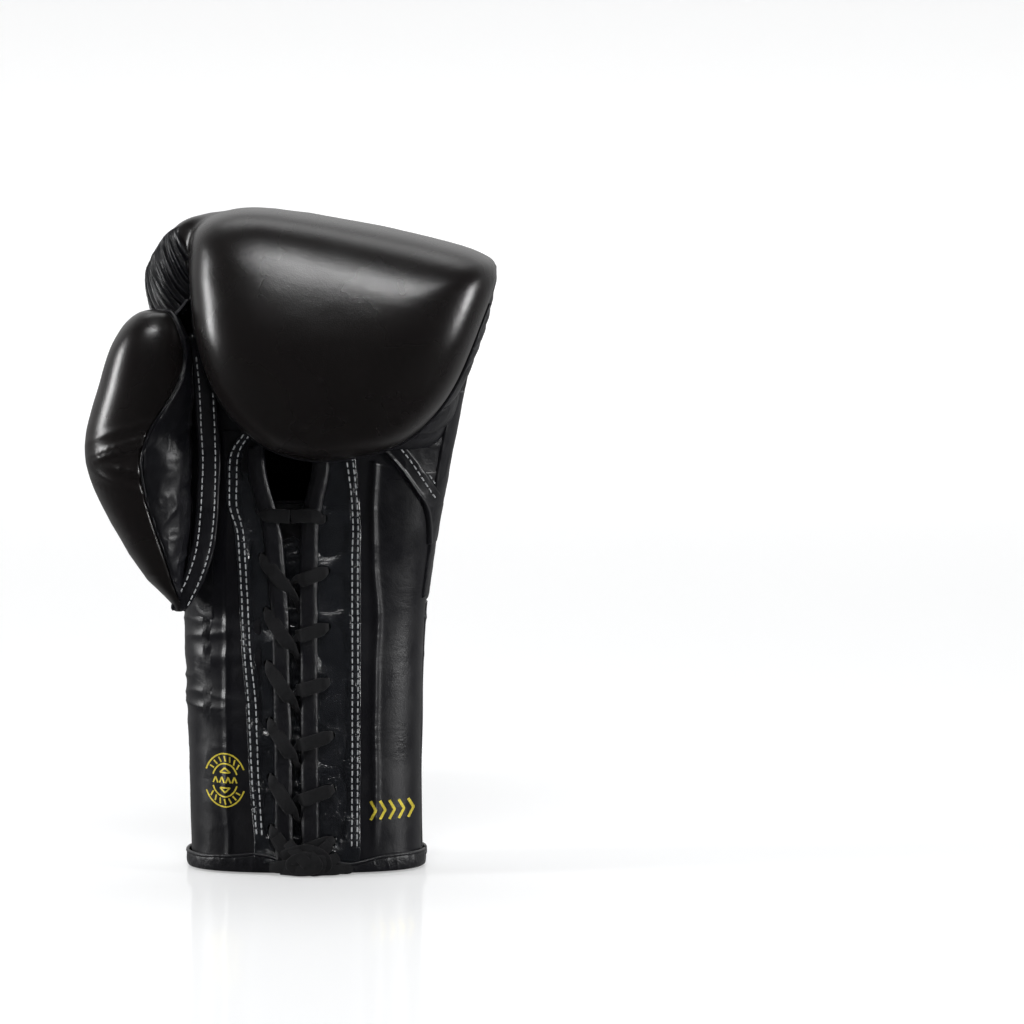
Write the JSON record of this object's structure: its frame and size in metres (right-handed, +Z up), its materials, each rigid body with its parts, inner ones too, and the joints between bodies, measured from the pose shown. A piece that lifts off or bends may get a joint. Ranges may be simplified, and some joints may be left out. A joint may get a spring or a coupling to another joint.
{
  "type": "lace-up boxing glove",
  "caption": "Long-cuff lace-up boxing glove in black leather, left hand, with a curled finger pad, tethered thumb, palm vent and laced wrist.",
  "frame": {"origin": "on the resting plane, below the middle of the whole glove's box", "axes": "+Z up from the cuff's hem to the fist, -Y the palm side, -X the thumb side"},
  "size_m": [0.2076, 0.1624, 0.33],
  "materials": {
    "pad_leather": "smooth black leather, satin gloss",
    "panel_leather": "thin black leather, creased, glossy on the facings",
    "binding_leather": "turned black leather binding",
    "foam": "layered foam",
    "lining_cloth": "black woven lining",
    "lace_cloth": "flat black woven lace"
  },
  "bodies": {
    "hand": {"back_shell": "pad_leather", "knuckle_pad_outer": "foam", "knuckle_pad_middle": "foam", "knuckle_pad_inner": "foam", "wrist_welt": "binding_leather", "palm_panel": "panel_leather", "palm_strip_thumb": "panel_leather", "heel_panel": "panel_leather", "side_panel": "panel_leather", "thumb_root_band": "panel_leather", "vent_binding": "binding_leather", "cuff_thumb_panel": "panel_leather", "cuff_back_panel": "panel_leather", "cuff_pad": "foam", "hand_lining": "lining_cloth", "finger_lining": "lining_cloth", "hem_binding": "binding_leather", "grip_bar": "foam", "lace_tongue": "lining_cloth", "lace_facing_thumb": "panel_leather", "lace_roll_thumb": "binding_leather", "lace_end_thumb": "lace_cloth", "lace_end_outer": "lace_cloth", "lace_knot": "lace_cloth", "index_gusset": "panel_leather", "little_gusset": "panel_leather", "thumb_tether": "panel_leather"},
    "fist": {"fist_shell": "pad_leather", "fist_pad": "foam", "finger_pocket_lining": "lining_cloth", "fist_inner_panel": "panel_leather", "fist_welt": "binding_leather"},
    "thumb": {"thumb_back_shell": "pad_leather", "thumb_inner_panel": "panel_leather", "thumb_pad": "foam", "thumb_lining": "lining_cloth"},
    "cuff_flap": {"cuff_outer_panel": "panel_leather", "cuff_flap_pad": "foam", "lace_facing_outer": "panel_leather", "lace_roll_outer": "binding_leather", "hem_binding_flap": "binding_leather"}
  },
  "joints": [
    {"name": "fist_open", "type": "hinge", "parent": "hand", "child": "fist", "pos_m": [0.019, -0.0205, 0.329], "axis": [-1, 0, 0], "range_deg": [0, 12], "stiffness_Nm_per_rad": 1.5, "deforming": ["index_gusset", "little_gusset"]},
    {"name": "thumb_flex", "type": "hinge", "parent": "hand", "child": "thumb", "pos_m": [-0.055, -0.02, 0.128], "axis": [0, -1, 0], "range_deg": [0, 10], "stiffness_Nm_per_rad": 0.8, "deforming": ["thumb_tether"]},
    {"name": "cuff_open", "type": "hinge", "parent": "hand", "child": "cuff_flap", "pos_m": [0.0638, 0.005, 0.09], "axis": [0, 0, 1], "range_deg": [0, 9], "stiffness_Nm_per_rad": 0.6, "deforming": ["lace_end_thumb", "lace_end_outer", "lace_knot"]}
  ]
}
